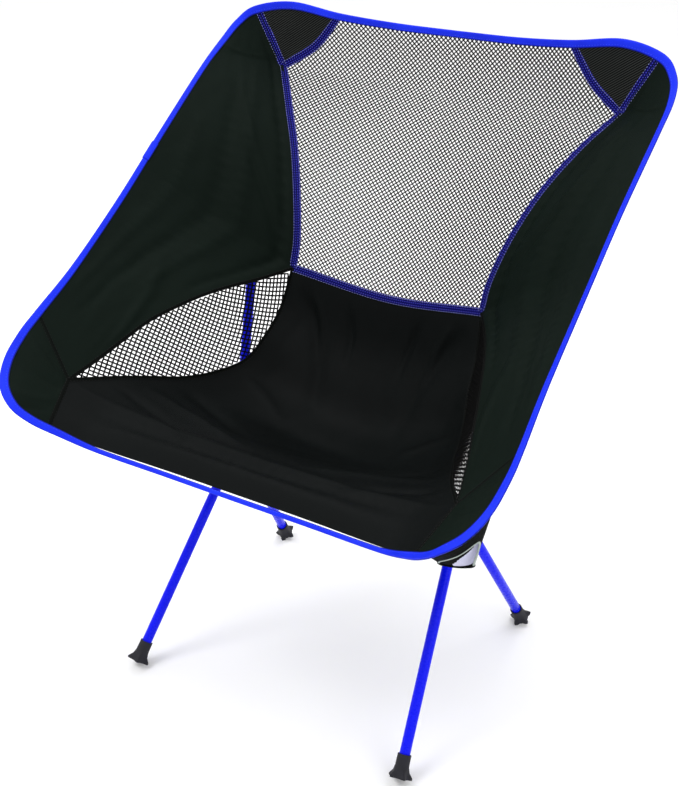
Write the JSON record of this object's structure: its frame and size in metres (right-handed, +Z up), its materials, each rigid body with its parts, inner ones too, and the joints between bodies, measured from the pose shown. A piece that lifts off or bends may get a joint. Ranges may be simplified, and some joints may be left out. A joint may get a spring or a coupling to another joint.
{
  "type": "folding camp chair",
  "caption": "Low folding camp chair: a sewn bucket sling with mesh back and side windows, hung on a shock-corded blue tube frame with splayed legs and star feet.",
  "frame": {"origin": "middle of the footprint of the whole chair, on the floor", "axes": "+Z up, the sitter faces -Y, +X is the sitter's left"},
  "size_m": [0.5274, 0.4674, 0.6688],
  "materials": {
    "blue_tube": "blue anodised, glossy",
    "hub_plastic": "moulded nylon, satin black",
    "foot_rubber": "moulded rubber, matte",
    "tip_plastic": "moulded nylon, satin black",
    "ferrule_metal": "bare aluminium",
    "shock_cord": "braided elastic cord",
    "green_black_cloth": "green-black coated plain weave",
    "seat_cloth": "black coated plain weave with a slight sheen",
    "black_mesh": "open diamond mesh, black",
    "dense_mesh": "close ribbed black mesh",
    "pocket_cloth": "doubled black cloth with a pale lining",
    "blue_binding": "bright blue folded edge binding",
    "navy_tape": "navy mesh tape with pale blue dots"
  },
  "bodies": {
    "sling_and_frame": {"crossbar": "blue_tube", "hub_left": "hub_plastic", "hub_right": "hub_plastic", "leg_cord_front_left": "shock_cord", "leg_cord_front_right": "shock_cord", "leg_cord_rear_left": "shock_cord", "leg_cord_rear_right": "shock_cord", "seat_pole_left": "blue_tube", "seat_pole_right": "blue_tube", "seat_pole_tip_left": "tip_plastic", "seat_pole_tip_right": "tip_plastic", "seat_pole_cord_left": "shock_cord", "seat_pole_cord_right": "shock_cord", "back_pole_lower_left": "blue_tube", "back_pole_lower_right": "blue_tube", "back_pole_upper_left": "blue_tube", "back_pole_upper_right": "blue_tube", "back_pole_ferrule_left": "ferrule_metal", "back_pole_ferrule_right": "ferrule_metal", "back_pole_tip_left": "tip_plastic", "back_pole_tip_right": "tip_plastic", "back_pole_cord_left": "shock_cord", "back_pole_cord_right": "shock_cord", "front_pocket_left": "pocket_cloth", "front_pocket_right": "pocket_cloth", "top_pocket_left": "pocket_cloth", "top_pocket_right": "pocket_cloth", "seat_panel": "seat_cloth", "back_mesh": "black_mesh", "side_panel_left": "green_black_cloth", "side_panel_right": "green_black_cloth", "side_mesh_left": "black_mesh", "side_mesh_right": "black_mesh", "corner_mesh_left": "dense_mesh", "corner_mesh_right": "dense_mesh", "front_corner_left": "green_black_cloth", "front_corner_right": "green_black_cloth", "back_tape_left": "navy_tape", "back_tape_right": "navy_tape", "fork_tape_left": "navy_tape", "fork_tape_right": "navy_tape", "corner_tape_left": "navy_tape", "corner_tape_right": "navy_tape", "back_tape_bottom": "navy_tape", "edge_binding": "blue_binding", "binding_overlap": "blue_binding"},
    "front_left_leg": {"leg_front_left": "blue_tube", "foot_front_left": "foot_rubber"},
    "front_right_leg": {"leg_front_right": "blue_tube", "foot_front_right": "foot_rubber"},
    "rear_left_leg": {"leg_rear_left": "blue_tube", "foot_rear_left": "foot_rubber"},
    "rear_right_leg": {"leg_rear_right": "blue_tube", "foot_rear_right": "foot_rubber"}
  },
  "joints": [
    {"name": "front_left_leg_pull", "type": "slide", "parent": "sling_and_frame", "child": "front_left_leg", "axis": [0.101, -0.6059, -0.7891], "range_m": [0, 0.06], "stiffness_N_per_m": 120, "springref_m": -0.08},
    {"name": "front_right_leg_pull", "type": "slide", "parent": "sling_and_frame", "child": "front_right_leg", "axis": [-0.101, -0.6059, -0.7891], "range_m": [0, 0.06], "stiffness_N_per_m": 120, "springref_m": -0.08},
    {"name": "rear_left_leg_pull", "type": "slide", "parent": "sling_and_frame", "child": "rear_left_leg", "axis": [0.1106, 0.5412, -0.8336], "range_m": [0, 0.06], "stiffness_N_per_m": 120, "springref_m": -0.08},
    {"name": "rear_right_leg_pull", "type": "slide", "parent": "sling_and_frame", "child": "rear_right_leg", "axis": [-0.1106, 0.5412, -0.8336], "range_m": [0, 0.06], "stiffness_N_per_m": 120, "springref_m": -0.08}
  ]
}
